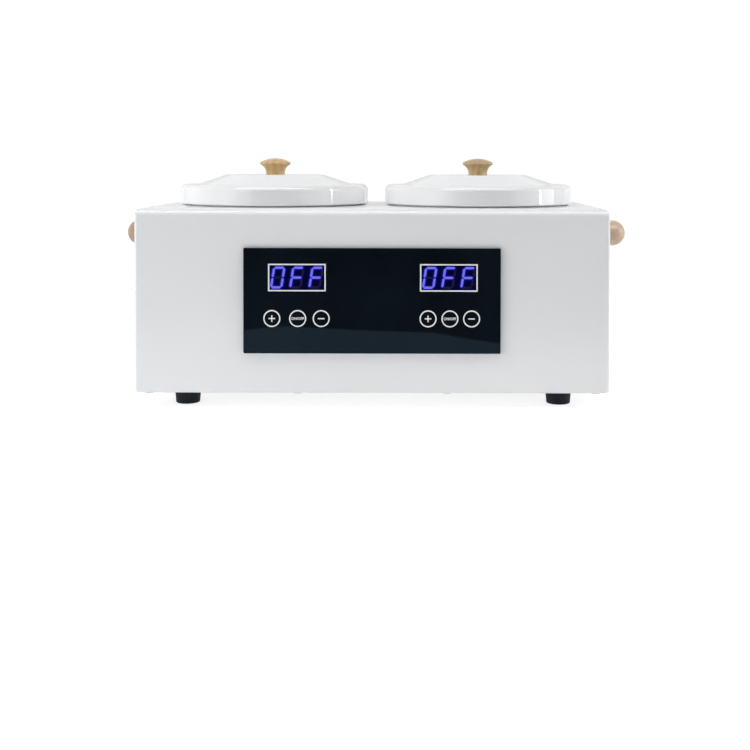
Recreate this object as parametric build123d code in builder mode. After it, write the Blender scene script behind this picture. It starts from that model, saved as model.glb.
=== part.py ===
from build123d import *
from math import atan2, cos, radians, sin, sqrt, tan
import os

os.makedirs("parts", exist_ok=True)

# Millimetres. +X to the user's right, -Y to the front, +Z up, feet on z = 0.

# Sheet-steel box
body_w = 311.4
body_d = 160.0
body_h = 121.0
steel_t = 1.2
top_bend_r = 4.8
corner_r = 2.0
flange_w = 16.0
plate_inset = 1.0
vent_field_x = 92.0
vent_count = 9
vent_pitch = 9.0
vent_len = 60.0
vent_w = 3.5

# Feet
foot_h = 10.0
foot_top_r = 8.8
foot_bottom_r = 7.9
foot_inset_x = 31.3
foot_inset_y = 20.0
foot_recess = 4.0
foot_recess_r = 4.5
foot_edge_r = 0.8
foot_thread_spare = 1.0

# Pots, wells and the rings that carry them
pot_bore_r = 52.8
pot_wall = 1.2
pot_depth = 88.0
pot_rim_r = 63.0
rim_bead_r = 1.3
well_clearance = 1.5
well_wall = 1.0
well_floor_gap = 1.5
well_floor_r = 5.0
collar_fit = 0.5
collar_wall = 2.7
collar_h = 9.4
collar_ledge = 3.8
neck_drop = 12.0
hole_fit = 0.3
clip_t = 1.5
clip_groove = 1.0
clip_width = 5.0
clip_gap = 14.0
clip_fit = 0.1
collar_edge_r = 1.0
pot_floor_r = 3.5
pot_lip_r = 2.0
seat_gap = 0.3

# Lids
lid_r = 66.7
lid_gap = 12.6
lid_skirt_h = 13.6
lid_cone_h = 6.7
lid_shoulder_r = 55.0
lid_crown_r = 35.0
lid_crown_rise = 0.3
lid_sheet = 1.0
lid_corner_r = 3.8
hem_r = 0.9

# Turned wooden knobs
knob_r = 11.0
knob_base_r = 6.85
knob_waist_r = 7.5
knob_waist_h = 4.1
knob_h = 11.5
knob_dome_h = 3.6
knob_lip = 0.9
grip_r = 9.2
grip_neck_r = 6.2
grip_reach = 23.7
grip_drop = 20.3
knob_screw_r = 1.6
knob_screw_depth = 7.0
knob_screw_spare = 0.5
knob_head_r = 3.2
washer_r = 5.0
washer_t = 0.8
screw_fit = 0.3
thread_fit = 0.05
seat_clear = 0.02
grip_neck_angle = 50.0

# Heaters
band_t = 1.8
band_floor_gap = 6.0
band_neck_gap = 2.0
band_ear_w = 10.0
band_ear_t = 1.6
band_slot = 8.0
band_bolt_r = 2.0
band_bolt_head_r = 3.5
band_fit = 0.1
jacket_t = 3.0
jacket_window = 24.0
sensor_r = 7.0
sensor_h = 4.0
link_r = 2.2
link_len = 14.0
link_x = 20.0

# Front panel
panel_w = 168.0
panel_h = 69.0
panel_rise = 0.3
panel_t = 1.5
panel_corner_r = 0.8
panel_edge_r = 0.3
foil_t = 0.5
foil_inset = 1.2
display_w = 37.6
display_h = 19.0
display_depth = 8.0
display_inset_left = 35.0
display_inset_right = 33.9
display_rise = 15.2
display_fit = 0.6
digit_count = 3
digit_h = 14.2
digit_w = 7.6
digit_pitch = 12.7
bar_t = 1.7
bar_gap = 0.25
bar_relief = 0.2
bar_depth = 0.8
slant_deg = 10.0
key_drop = 11.6
key_r = 5.0
key_steps_left = (-16.35, 0.5, 15.85)
key_steps_right = (-13.5, 0.75, 14.9)
key_fit = 1.0

# Circuit boards
board_t = 1.6
control_board_inset_x = 6.0
control_board_inset_z = 9.5
stud_r = 2.5
stud_inset = 4.0
power_board_w = 112.0
power_board_d = 66.0
power_board_stand = 5.0
relay_w = 15.5
relay_d = 19.0
relay_h = 15.5
relay_edge_r = 0.8
relay_gap = 2.0
transformer_w = 32.0
transformer_d = 27.0
transformer_h = 24.0
winding_over = 5.0
block_w = 30.0
block_d = 10.0
block_h = 12.0
block_ways = 4
block_hole_r = 1.8
block_edge_gap = 1.0
fuse_r = 2.6
fuse_len = 20.0
fuse_x = 0.0
fuse_y = -24.0
fuse_clip_t = 0.8
fuse_clip_w = 4.0
chip_w = 10.0
chip_t = 1.5
plug_w = 18.0
plug_h = 6.0
plug_depth = 7.0

# Mains inlet and main switch in the rear wall
inlet_z = 33.0
inlet_flange_w = 50.0
inlet_flange_h = 25.0
inlet_flange_t = 2.0
inlet_flange_r = 3.0
inlet_body_w = 28.0
inlet_body_h = 20.0
inlet_body_depth = 20.0
inlet_cavity_w = 24.5
inlet_cavity_h = 16.5
inlet_cavity_depth = 16.0
inlet_chamfer = 4.5
inlet_hole_pitch = 40.0
pin_pitch = 14.0
pin_offset = 2.0
pin_w = 2.0
pin_h = 4.0
pin_recess = 5.0
pin_tail = 8.0
switch_x = 52.0
switch_flange_w = 21.0
switch_flange_h = 15.0
switch_flange_t = 1.2
switch_body_w = 18.8
switch_body_h = 12.6
switch_body_depth = 16.0
rocker_fit = 0.5
rocker_wall = 1.2
rocker_pivot_depth = 3.5
rocker_pin_r = 1.2
rocker_pin_fit = 0.05
rocker_tilt_deg = 7.0
rocker_proud = 0.3
rocker_tail = 3.0
switch_flange_r = 1.0
tab_pitch = 10.0
tab_t = 0.8
tab_w = 4.8
tab_len = 8.0
cut_fit = 0.3

# Machine screws
screw_r = 1.5
screw_head_r = 2.8
screw_head_h = 1.5
screw_len = 6.0
nut_r = 3.2
nut_h = 2.4

# Heights and planes that follow from the sizes above
top_z = foot_h + body_h
shell_bottom = foot_h + steel_t
front_y = -body_d / 2
rear_y = body_d / 2
inner_front_y = front_y + steel_t
inner_rear_y = rear_y - steel_t
pot_spacing = 2 * lid_r + lid_gap
pot_r = pot_bore_r + pot_wall
well_bore_r = pot_r + well_clearance
well_r = well_bore_r + well_wall
collar_bore_r = well_r + collar_fit
neck_r = collar_bore_r + collar_wall
collar_r = neck_r + collar_ledge
panel_hole_r = neck_r + hole_fit
collar_top = top_z + collar_h
well_top = collar_top + well_wall
rim_bottom = well_top + seat_gap
rim_top = rim_bottom + 2 * rim_bead_r
pot_floor = rim_top - pot_depth
well_floor = pot_floor - pot_wall - well_floor_gap
well_under = well_floor - well_wall
lid_shoulder_under = rim_top + seat_gap
lid_shoulder_z = lid_shoulder_under + lid_sheet
lid_skirt_z = lid_shoulder_z - lid_skirt_h
lid_top_z = lid_shoulder_z + lid_cone_h
band_r = well_r + band_t
jacket_r = band_r + jacket_t
neck_bottom = top_z - neck_drop
band_bottom = well_floor + band_floor_gap
band_top = neck_bottom - band_neck_gap
panel_z = foot_h + body_h / 2 + panel_rise
panel_back_y = front_y - foil_t
board_front_y = panel_back_y + display_depth + bar_relief
display_z = panel_z + display_rise
key_z = panel_z - key_drop
display_xs = (display_inset_left - panel_w / 2, panel_w / 2 - display_inset_right)
key_xs_left = [display_xs[0] + step for step in key_steps_left]
key_xs_right = [display_xs[1] + step for step in key_steps_right]
control_board_w = panel_w - 2 * control_board_inset_x
control_board_h = panel_h - 2 * control_board_inset_z

SIDES = (("left", -1), ("right", 1))


def upright(x, y=0.0):
    """A plane through (x, y) whose drawing axes are X across and Z up, seen from the front."""
    return Plane(origin=(x, y, 0), x_dir=(1, 0, 0), z_dir=(0, -1, 0))


def vertical_axis(x):
    return Axis((x, 0, 0), (0, 0, 1))


def round_corner(section, x, y, radius):
    """Round the corner of a section that lies at (x, y)."""
    fillet(section.vertices().sort_by_distance((x, y))[0], radius)


def folded_box(width, depth, bottom, top, bend, corner=0.0):
    """A box whose top edges are bent over at one radius and meet in mitred corners."""
    height = top - bottom
    with BuildPart() as box:
        with BuildSketch(Plane.XY.offset(bottom)) as plan:
            Rectangle(width, depth)
            if corner:
                fillet(plan.vertices(), corner)
        extrude(amount=height)
        with BuildSketch(Plane.XZ):
            with Locations((0, bottom)):
                RectangleRounded(width, 2 * height, bend)
        extrude(amount=depth, both=True, mode=Mode.INTERSECT)
        with BuildSketch(Plane.YZ):
            with Locations((0, bottom)):
                RectangleRounded(depth, 2 * height, bend)
        extrude(amount=width, both=True, mode=Mode.INTERSECT)
    return box.part


def save(piece, name):
    piece.part.label = name
    export_step(piece.part, f"parts/{name}.step")


# Housing: one folded and welded steel wrap, open below, with a flange for the base plate
outer_form = folded_box(body_w, body_d, shell_bottom, top_z, top_bend_r, corner_r)
inner_form = folded_box(
    body_w - 2 * steel_t,
    body_d - 2 * steel_t,
    shell_bottom + steel_t,
    top_z - steel_t,
    top_bend_r - steel_t,
)
key_xs = key_xs_left + key_xs_right
board_stud_x = control_board_w / 2 - stud_inset
board_stud_z = control_board_h / 2 - stud_inset
board_stud_spots = [
    (x, panel_z + z) for x in (-board_stud_x, board_stud_x) for z in (-board_stud_z, board_stud_z)
]
base_screw_spots = GridLocations((body_w - flange_w) / 3, body_d - flange_w, 4, 2)
with BuildPart() as housing_shell:
    add(outer_form)
    add(inner_form, mode=Mode.SUBTRACT)
    with BuildSketch(Plane.XY.offset(shell_bottom)):
        Rectangle(body_w - 2 * flange_w, body_d - 2 * flange_w)
        with base_screw_spots:
            Circle(screw_r + thread_fit)
    extrude(amount=steel_t, mode=Mode.SUBTRACT)
    with BuildSketch(Plane.XY.offset(top_z - steel_t)):
        with Locations((-pot_spacing / 2, 0), (pot_spacing / 2, 0)):
            Circle(panel_hole_r)
    extrude(amount=steel_t, mode=Mode.SUBTRACT)
    with BuildSketch(Plane.XZ.offset(-inner_front_y)):
        with Locations([(x, display_z) for x in display_xs]):
            Rectangle(display_w + 2 * display_fit, display_h + 2 * display_fit)
        with Locations([(x, key_z) for x in key_xs]):
            Circle(key_r + key_fit)
    extrude(amount=steel_t, mode=Mode.SUBTRACT)
    with BuildSketch(Plane.XZ.offset(-rear_y)):
        with Locations((0, inlet_z)):
            Rectangle(inlet_body_w + 2 * cut_fit, inlet_body_h + 2 * cut_fit)
        with Locations((-inlet_hole_pitch / 2, inlet_z), (inlet_hole_pitch / 2, inlet_z)):
            Circle(screw_r + screw_fit)
        with Locations((switch_x, inlet_z)):
            Rectangle(switch_body_w + 2 * cut_fit, switch_body_h + 2 * cut_fit)
    extrude(amount=steel_t, mode=Mode.SUBTRACT)
    with BuildSketch(Plane.YZ.offset(-body_w / 2)):
        with Locations((0, top_z - grip_drop)):
            Circle(knob_screw_r + screw_fit)
    extrude(amount=body_w, mode=Mode.SUBTRACT)
save(housing_shell, "housing_shell")


def screw(plane, length, flush=False):
    """A machine screw whose head seats on the plane and whose shank runs along the plane's normal."""
    countersink = screw_head_r - screw_r if flush else 0.0
    with BuildPart() as fastener:
        with BuildSketch(plane):
            Circle(screw_r)
        extrude(amount=length)
        if flush:
            with BuildSketch(plane):
                Circle(screw_head_r)
            extrude(amount=countersink, taper=45)
        else:
            with BuildSketch(plane):
                Circle(screw_head_r)
            extrude(amount=-screw_head_h)
    return fastener.part


# Base plate under the flange, with vent slots below each pot
plate_w = body_w - 2 * plate_inset
plate_d = body_d - 2 * plate_inset
foot_spots = GridLocations(body_w - 2 * foot_inset_x, body_d - 2 * foot_inset_y, 2, 2)
stand_x = power_board_w / 2 - stud_inset
stand_y = power_board_d / 2 - stud_inset
stand_spots = GridLocations(2 * stand_x, 2 * stand_y, 2, 2)
with BuildPart() as base_plate:
    with BuildSketch(Plane.XY.offset(foot_h)):
        RectangleRounded(plate_w, plate_d, corner_r)
    extrude(amount=steel_t)
    with BuildSketch(Plane.XY.offset(foot_h)):
        for vent_x in (-vent_field_x, vent_field_x):
            with Locations((vent_x, 0)):
                with GridLocations(vent_pitch, 0, vent_count, 1):
                    SlotOverall(vent_len, vent_w, rotation=90)
        with base_screw_spots:
            Circle(screw_r + screw_fit)
        with foot_spots:
            Circle(screw_r + screw_fit)
        with stand_spots:
            Circle(screw_r + thread_fit)
    extrude(amount=steel_t, mode=Mode.SUBTRACT)
save(base_plate, "base_plate")

base_screw = screw(Plane.XY.offset(foot_h), screw_len)
with BuildPart() as base_plate_screws:
    with base_screw_spots:
        add(base_screw)
save(base_plate_screws, "base_plate_screws")

# Tapered rubber feet, each hollow below for its screw
with BuildPart() as foot:
    with BuildSketch(upright(0)):
        with BuildLine():
            Polyline(
                (screw_r + screw_fit, foot_recess),
                (foot_recess_r, foot_recess),
                (foot_recess_r, 0),
                (foot_bottom_r, 0),
                (foot_top_r, foot_h),
                (screw_r + screw_fit, foot_h),
                close=True,
            )
        make_face()
    revolve(axis=Axis.Z)
    sole_edges = foot.edges().filter_by(GeomType.CIRCLE).group_by(Axis.Z)[0]
    fillet(sole_edges.sort_by(SortBy.RADIUS)[-1], foot_edge_r)
with BuildPart() as rubber_feet:
    with foot_spots:
        add(foot.part)
save(rubber_feet, "rubber_feet")

foot_screw_len = foot_h - foot_recess + steel_t + nut_h + foot_thread_spare
foot_screw = screw(Plane.XY.offset(foot_recess), foot_screw_len)
with BuildPart() as foot_nut:
    with BuildSketch(Plane.XY.offset(shell_bottom)):
        RegularPolygon(nut_r, 6)
    extrude(amount=nut_h)
with BuildPart() as foot_screws:
    with foot_spots:
        add(foot_screw)
        add(foot_nut.part)
save(foot_screws, "foot_screws")

# For each pot: the ring round its hole, the snap ring below, the well, its heater and the pot
cone_angle = atan2(lid_cone_h, lid_shoulder_r - lid_crown_r)
cone_shift = lid_sheet * tan(cone_angle / 2)
lid_crown_z = lid_top_z + lid_crown_rise
rim_flange_z = rim_bottom + rim_bead_r
band_mid = (band_bottom + band_top) / 2
ear_x = (band_slot + band_ear_t) / 2
bolt_half = ear_x + band_ear_t / 2
bolt_y = band_r + band_ear_w / 2
bead_run = sqrt(rim_bead_r**2 - (pot_wall / 2) ** 2)
bead_x = pot_rim_r - rim_bead_r
hem_z = lid_skirt_z + hem_r
hem_run = sqrt(hem_r**2 - (lid_sheet - hem_r) ** 2)
for side, sign in SIDES:
    pot_x = sign * pot_spacing / 2

    with BuildPart() as collar:
        with BuildSketch(upright(pot_x)):
            with BuildLine():
                Polyline(
                    (collar_bore_r, neck_bottom),
                    (neck_r, neck_bottom),
                    (neck_r, top_z - steel_t - clip_t),
                    (neck_r - clip_groove, top_z - steel_t - clip_t),
                    (neck_r - clip_groove, top_z - steel_t),
                    (neck_r, top_z - steel_t),
                    (neck_r, top_z),
                    (collar_r, top_z),
                    (collar_r, collar_top),
                    (collar_bore_r, collar_top),
                    close=True,
                )
            make_face()
        revolve(axis=vertical_axis(pot_x))
        rim_edges = collar.edges().filter_by(GeomType.CIRCLE).group_by(Axis.Z)[-1]
        fillet(rim_edges.sort_by(SortBy.RADIUS)[-1], collar_edge_r)
    save(collar, f"collar_{side}")

    with BuildPart() as snap_ring:
        with BuildSketch(Plane((pot_x, 0, top_z - steel_t - clip_t))):
            Circle(neck_r - clip_groove + clip_width)
            Circle(neck_r - clip_groove + clip_fit, mode=Mode.SUBTRACT)
            with Locations((0, neck_r)):
                Rectangle(clip_gap, 2 * clip_width, mode=Mode.SUBTRACT)
        extrude(amount=clip_t - clip_fit)
    save(snap_ring, f"snap_ring_{side}")

    with BuildPart() as well:
        with BuildSketch(upright(pot_x)) as well_section:
            with BuildLine():
                Polyline(
                    (0, well_under),
                    (well_r, well_under),
                    (well_r, collar_top),
                    (pot_rim_r, collar_top),
                    (pot_rim_r, well_top),
                    (well_bore_r, well_top),
                    (well_bore_r, well_floor),
                    (0, well_floor),
                    close=True,
                )
            make_face()
            round_corner(well_section, well_bore_r, well_floor, well_floor_r - well_wall)
            round_corner(well_section, well_r, well_under, well_floor_r)
        revolve(axis=vertical_axis(pot_x))
    save(well, f"well_{side}")

    with BuildPart() as heater_band:
        with BuildSketch(Plane((pot_x, 0, band_bottom))):
            Circle(band_r)
            with Locations((-ear_x, bolt_y), (ear_x, bolt_y)):
                Rectangle(band_ear_t, band_ear_w + 2 * band_t)
            Circle(well_r + band_fit, mode=Mode.SUBTRACT)
            with Locations((0, band_r)):
                Rectangle(band_slot, 4 * band_t, mode=Mode.SUBTRACT)
        extrude(amount=band_top - band_bottom)
        with BuildSketch(Plane.YZ.offset(pot_x)):
            with Locations((bolt_y, band_mid)):
                Circle(band_bolt_r + thread_fit)
        extrude(amount=bolt_half, both=True, mode=Mode.SUBTRACT)
    save(heater_band, f"heater_band_{side}")

    with BuildPart() as band_bolt:
        with BuildSketch(Plane.YZ.offset(pot_x)):
            with Locations((bolt_y, band_mid)):
                Circle(band_bolt_r)
        extrude(amount=bolt_half, both=True)
        with BuildSketch(Plane.YZ.offset(pot_x + bolt_half)):
            with Locations((bolt_y, band_mid)):
                Circle(band_bolt_head_r)
        extrude(amount=screw_head_h)
        with BuildSketch(Plane.YZ.offset(pot_x - bolt_half)):
            with Locations((bolt_y, band_mid)):
                RegularPolygon(band_bolt_head_r, 6)
        extrude(amount=-nut_h)
    save(band_bolt, f"band_bolt_{side}")

    with BuildPart() as jacket:
        with BuildSketch(Plane((pot_x, 0, well_under))):
            Circle(jacket_r)
            Circle(band_r + band_fit, mode=Mode.SUBTRACT)
            with Locations((0, band_r)):
                Rectangle(jacket_window, 4 * jacket_t, mode=Mode.SUBTRACT)
        extrude(amount=band_top - well_under)
    save(jacket, f"insulation_{side}")

    with BuildPart() as thermostat:
        with BuildSketch(Plane((pot_x, 0, well_under - sensor_h))):
            Circle(sensor_r)
        extrude(amount=sensor_h)
        with BuildSketch(Plane.YZ.offset(pot_x + link_x - link_len / 2)):
            with Locations((0, well_under - link_r)):
                Circle(link_r)
        extrude(amount=link_len)
    save(thermostat, f"thermostat_{side}")

    with BuildPart() as pot:
        with BuildSketch(upright(pot_x)) as pot_section:
            with BuildLine():
                Polyline(
                    (bead_x - bead_run, rim_flange_z + pot_wall / 2),
                    (pot_bore_r, rim_flange_z + pot_wall / 2),
                    (pot_bore_r, pot_floor),
                    (0, pot_floor),
                    (0, pot_floor - pot_wall),
                    (pot_r, pot_floor - pot_wall),
                    (pot_r, rim_flange_z - pot_wall / 2),
                    (bead_x - bead_run, rim_flange_z - pot_wall / 2),
                )
                ThreePointArc(
                    (bead_x - bead_run, rim_flange_z - pot_wall / 2),
                    (pot_rim_r, rim_flange_z),
                    (bead_x - bead_run, rim_flange_z + pot_wall / 2),
                )
            make_face()
            round_corner(pot_section, pot_bore_r, pot_floor, pot_floor_r)
            round_corner(pot_section, pot_r, pot_floor - pot_wall, pot_floor_r + pot_wall)
            round_corner(pot_section, pot_r, rim_flange_z - pot_wall / 2, pot_lip_r)
            round_corner(pot_section, pot_bore_r, rim_flange_z + pot_wall / 2, pot_lip_r + pot_wall)
        revolve(axis=vertical_axis(pot_x))
    save(pot, f"pot_{side}")

    with BuildPart() as lid:
        with BuildSketch(upright(pot_x)) as lid_section:
            bore = knob_screw_r + screw_fit
            with BuildLine():
                Polyline(
                    (lid_crown_r, lid_top_z),
                    (lid_shoulder_r, lid_shoulder_z),
                    (lid_r, lid_shoulder_z),
                    (lid_r, hem_z),
                )
                ThreePointArc(
                    (lid_r, hem_z),
                    (lid_r - 2 * hem_r, hem_z),
                    (lid_r - lid_sheet, hem_z + hem_run),
                )
                Polyline(
                    (lid_r - lid_sheet, hem_z + hem_run),
                    (lid_r - lid_sheet, lid_shoulder_under),
                    (lid_shoulder_r - cone_shift, lid_shoulder_under),
                    (lid_crown_r - cone_shift, lid_top_z - lid_sheet),
                )
                ThreePointArc(
                    (lid_crown_r - cone_shift, lid_top_z - lid_sheet),
                    (lid_crown_r / 2, lid_top_z - lid_sheet + 0.75 * lid_crown_rise),
                    (bore, lid_crown_z - lid_sheet),
                )
                Line((bore, lid_crown_z - lid_sheet), (bore, lid_crown_z))
                ThreePointArc(
                    (bore, lid_crown_z),
                    (lid_crown_r / 2, lid_top_z + 0.75 * lid_crown_rise),
                    (lid_crown_r, lid_top_z),
                )
            make_face()
            round_corner(lid_section, lid_r - lid_sheet, lid_shoulder_under, lid_corner_r - lid_sheet)
            round_corner(lid_section, lid_r, lid_shoulder_z, lid_corner_r)
        revolve(axis=vertical_axis(pot_x))
    save(lid, f"lid_{side}")

    lip_z = lid_crown_z + knob_h - knob_dome_h
    with BuildPart() as lid_knob:
        with BuildSketch(upright(pot_x)):
            with BuildLine():
                ThreePointArc(
                    (knob_base_r, lid_crown_z),
                    (knob_waist_r, lid_crown_z + knob_waist_h),
                    (knob_r - knob_lip / 2, lip_z - knob_lip),
                )
                ThreePointArc(
                    (knob_r - knob_lip / 2, lip_z - knob_lip),
                    (knob_r, lip_z),
                    (knob_r - knob_lip / 2, lip_z + knob_lip),
                )
                TangentArc(
                    (0, lid_crown_z + knob_h), (knob_r - knob_lip / 2, lip_z + knob_lip), tangent=(1, 0)
                )
                Polyline((0, lid_crown_z + knob_h), (0, lid_crown_z), (knob_base_r, lid_crown_z))
            make_face()
        revolve(axis=vertical_axis(pot_x))
        with BuildSketch(Plane((pot_x, 0, lid_crown_z))):
            Circle(knob_screw_r + thread_fit)
        extrude(amount=knob_screw_depth, mode=Mode.SUBTRACT)
    save(lid_knob, f"lid_knob_{side}")

    with BuildPart() as lid_screw:
        lid_seat = Plane((pot_x, 0, lid_crown_z - lid_sheet - seat_clear))
        with BuildSketch(lid_seat):
            Circle(knob_screw_r)
        extrude(amount=lid_sheet + knob_screw_depth)
        with BuildSketch(lid_seat):
            Circle(washer_r)
        extrude(amount=-washer_t)
        with BuildSketch(lid_seat.offset(-washer_t)):
            Circle(knob_head_r)
        extrude(amount=-screw_head_h)
    save(lid_screw, f"lid_knob_screw_{side}")

    # Ball-ended side grip on a short neck, turned about a sideways axis
    grip_origin = (sign * body_w / 2, 0, top_z - grip_drop)
    grip_plane = Plane(origin=grip_origin, x_dir=(sign, 0, 0), z_dir=(0, -sign, 0))
    ball_x = grip_reach - grip_r
    neck_angle = radians(grip_neck_angle)
    join = (ball_x - grip_r * cos(neck_angle), grip_r * sin(neck_angle))
    with BuildPart() as grip:
        with BuildSketch(grip_plane):
            with BuildLine():
                Polyline((grip_reach, 0), (0, 0), (0, grip_neck_r))
                Spline((0, grip_neck_r), join, tangents=((1, 0), (sin(neck_angle), cos(neck_angle))))
                ThreePointArc(join, (ball_x, grip_r), (grip_reach, 0))
            make_face()
        revolve(axis=Axis(grip_origin, (sign, 0, 0)))
        with BuildSketch(Plane(origin=grip_origin, z_dir=(sign, 0, 0))):
            Circle(knob_screw_r + thread_fit)
        extrude(amount=knob_screw_depth, mode=Mode.SUBTRACT)
    save(grip, f"side_grip_{side}")

    with BuildPart() as grip_screw:
        inner_x = sign * (body_w / 2 - steel_t)
        grip_seat = Plane(origin=(inner_x, 0, top_z - grip_drop), z_dir=(sign, 0, 0))
        with BuildSketch(grip_seat):
            Circle(knob_screw_r)
        extrude(amount=steel_t + knob_screw_depth - knob_screw_spare)
        with BuildSketch(grip_seat):
            Circle(washer_r)
        extrude(amount=-washer_t)
        with BuildSketch(grip_seat.offset(-washer_t)):
            Circle(knob_head_r)
        extrude(amount=-screw_head_h)
    save(grip_screw, f"side_grip_screw_{side}")


# Glossy front panel, stuck to the steel by a foil with the same windows
key_spots = [(x, key_z) for x in key_xs]
with BuildPart() as control_panel:
    with BuildSketch(Plane.XZ.offset(-panel_back_y)):
        with Locations((0, panel_z)):
            RectangleRounded(panel_w, panel_h, panel_corner_r)
    extrude(amount=panel_t)
    fillet(control_panel.faces().sort_by(Axis.Y)[0].edges(), panel_edge_r)
save(control_panel, "control_panel")

with BuildPart() as panel_foil:
    with BuildSketch(Plane.XZ.offset(-front_y)):
        with Locations((0, panel_z)):
            Rectangle(panel_w - 2 * foil_inset, panel_h - 2 * foil_inset)
        with Locations([(x, display_z) for x in display_xs]):
            Rectangle(display_w + 2 * display_fit, display_h + 2 * display_fit, mode=Mode.SUBTRACT)
        with Locations(key_spots):
            Circle(key_r + key_fit, mode=Mode.SUBTRACT)
    extrude(amount=foil_t)
save(panel_foil, "panel_foil")


def slanted(points):
    """Leans a digit's outline to the right, as its bars lean on the lamp module."""
    lean = tan(radians(slant_deg))
    return [(u + v * lean, v) for u, v in points]


def bar(u0, v0, u1, v1):
    """One light bar with pointed ends, level or upright, between two points of its centre line."""
    tip = bar_t / 2
    if v0 == v1:
        outline = [
            (u0, v0), (u0 + tip, v0 + tip), (u1 - tip, v0 + tip),
            (u1, v0), (u1 - tip, v0 - tip), (u0 + tip, v0 - tip),
        ]
    else:
        outline = [
            (u0, v0), (u0 + tip, v0 + tip), (u0 + tip, v1 - tip),
            (u0, v1), (u0 - tip, v1 - tip), (u0 - tip, v0 + tip),
        ]
    return slanted(outline)


def digit_bars():
    """The seven bars of one digit, centred on the digit."""
    a = (digit_w - bar_t) / 2
    b = (digit_h - bar_t) / 2
    g = bar_gap
    level = [bar(-a + g, v, a - g, v) for v in (b, 0, -b)]
    upper = [bar(u, g, u, b - g) for u in (-a, a)]
    lower = [bar(u, -b + g, u, -g) for u in (-a, a)]
    return level + upper + lower


# Three-digit lamp modules behind the panel's windows
face_y = panel_back_y + bar_relief
for (side, sign), centre_x in zip(SIDES, display_xs):
    with BuildPart() as light_bars:
        for place in range(digit_count):
            digit_x = centre_x + (place - (digit_count - 1) / 2) * digit_pitch
            with BuildSketch(Plane.XZ.offset(-(face_y + bar_depth))):
                with Locations((digit_x, display_z)):
                    for outline in digit_bars():
                        Polygon(*outline, align=None)
            extrude(amount=bar_depth + bar_relief)
    save(light_bars, f"light_bars_{side}")

    with BuildPart() as display:
        with BuildSketch(Plane.XZ.offset(-board_front_y)):
            with Locations((centre_x, display_z)):
                Rectangle(display_w, display_h)
        extrude(amount=display_depth)
        add(light_bars.part, mode=Mode.SUBTRACT)
    save(display, f"display_{side}")

    side_keys = key_xs_left if sign < 0 else key_xs_right
    with BuildPart() as key_pads:
        with BuildSketch(Plane.XZ.offset(-board_front_y)):
            with Locations([(x, key_z) for x in side_keys]):
                Circle(key_r)
        extrude(amount=board_front_y - panel_back_y)
    save(key_pads, f"key_pads_{side}")

# Control board behind the panel, on studs welded to the steel
with BuildPart() as control_board:
    with BuildSketch(Plane.XZ.offset(-board_front_y - board_t)):
        with Locations((0, panel_z)):
            Rectangle(control_board_w, control_board_h)
        with Locations(board_stud_spots):
            Circle(screw_r + screw_fit, mode=Mode.SUBTRACT)
    extrude(amount=board_t)
save(control_board, "control_board")

with BuildPart() as board_studs:
    with BuildSketch(Plane.XZ.offset(-board_front_y)):
        with Locations(board_stud_spots):
            Circle(stud_r)
            Circle(screw_r + thread_fit, mode=Mode.SUBTRACT)
    extrude(amount=board_front_y - inner_front_y)
save(board_studs, "board_studs")

board_back_y = board_front_y + board_t
board_screw = screw(Plane.XZ.offset(-board_back_y), screw_len)
with BuildPart() as control_board_screws:
    for x, z in board_stud_spots:
        add(board_screw.moved(Location((x, 0, z))))
save(control_board_screws, "control_board_screws")

with BuildPart() as control_chips:
    with BuildSketch(Plane.XZ.offset(-board_back_y)):
        with Locations((0, panel_z)):
            Rectangle(chip_w, chip_w)
        with Locations([(x, panel_z) for x in display_xs]):
            Rectangle(chip_w, chip_w / 2)
    extrude(amount=-chip_t)
    with BuildSketch(Plane.XZ.offset(-board_back_y)):
        with Locations((0, panel_z - control_board_h / 2 + 2 * chip_t + plug_h / 2)):
            Rectangle(plug_w, plug_h)
    extrude(amount=-plug_depth)
save(control_chips, "control_chips")

# Power board on stand-offs over the base plate
board_z = shell_bottom + power_board_stand
power_top = board_z + board_t
with BuildPart() as power_board:
    with BuildSketch(Plane.XY.offset(board_z)):
        Rectangle(power_board_w, power_board_d)
        with stand_spots:
            Circle(screw_r + screw_fit, mode=Mode.SUBTRACT)
    extrude(amount=board_t)
save(power_board, "power_board")

with BuildPart() as power_board_stands:
    with BuildSketch(Plane.XY.offset(shell_bottom)):
        with stand_spots:
            Circle(stud_r)
            Circle(screw_r + thread_fit, mode=Mode.SUBTRACT)
    extrude(amount=power_board_stand)
save(power_board_stands, "power_board_stands")

power_screw = screw(Plane(origin=(0, 0, power_top), z_dir=(0, 0, -1)), screw_len)
with BuildPart() as power_board_screws:
    with stand_spots:
        add(power_screw)
save(power_board_screws, "power_board_screws")

relay_x = power_board_w / 2 - 2 * stud_inset - relay_d / 2 - relay_gap
with BuildPart() as relays:
    with BuildSketch(Plane.XY.offset(power_top)):
        with Locations((-relay_x, 0), (relay_x, 0)):
            RectangleRounded(relay_d, relay_w, relay_edge_r)
    extrude(amount=relay_h)
    fillet(relays.faces().filter_by(Axis.Z).group_by(Axis.Z)[-1].edges(), relay_edge_r)
save(relays, "relays")

core_w = transformer_w - 2 * winding_over
with BuildPart() as transformer_core:
    with BuildSketch(Plane.XZ.offset(transformer_d / 2 - winding_over)):
        with Locations((0, power_top + transformer_h / 2)):
            Rectangle(transformer_w, transformer_h)
            Rectangle(core_w, transformer_h - 2 * winding_over, mode=Mode.SUBTRACT)
    extrude(amount=-(transformer_d - 2 * winding_over))
save(transformer_core, "transformer_core")

with BuildPart() as transformer_winding:
    with BuildSketch(Plane.XZ.offset(transformer_d / 2)):
        with Locations((0, power_top + transformer_h / 2)):
            RectangleRounded(core_w, transformer_h - 2 * winding_over, relay_edge_r)
    extrude(amount=-transformer_d)
save(transformer_winding, "transformer_winding")

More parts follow.
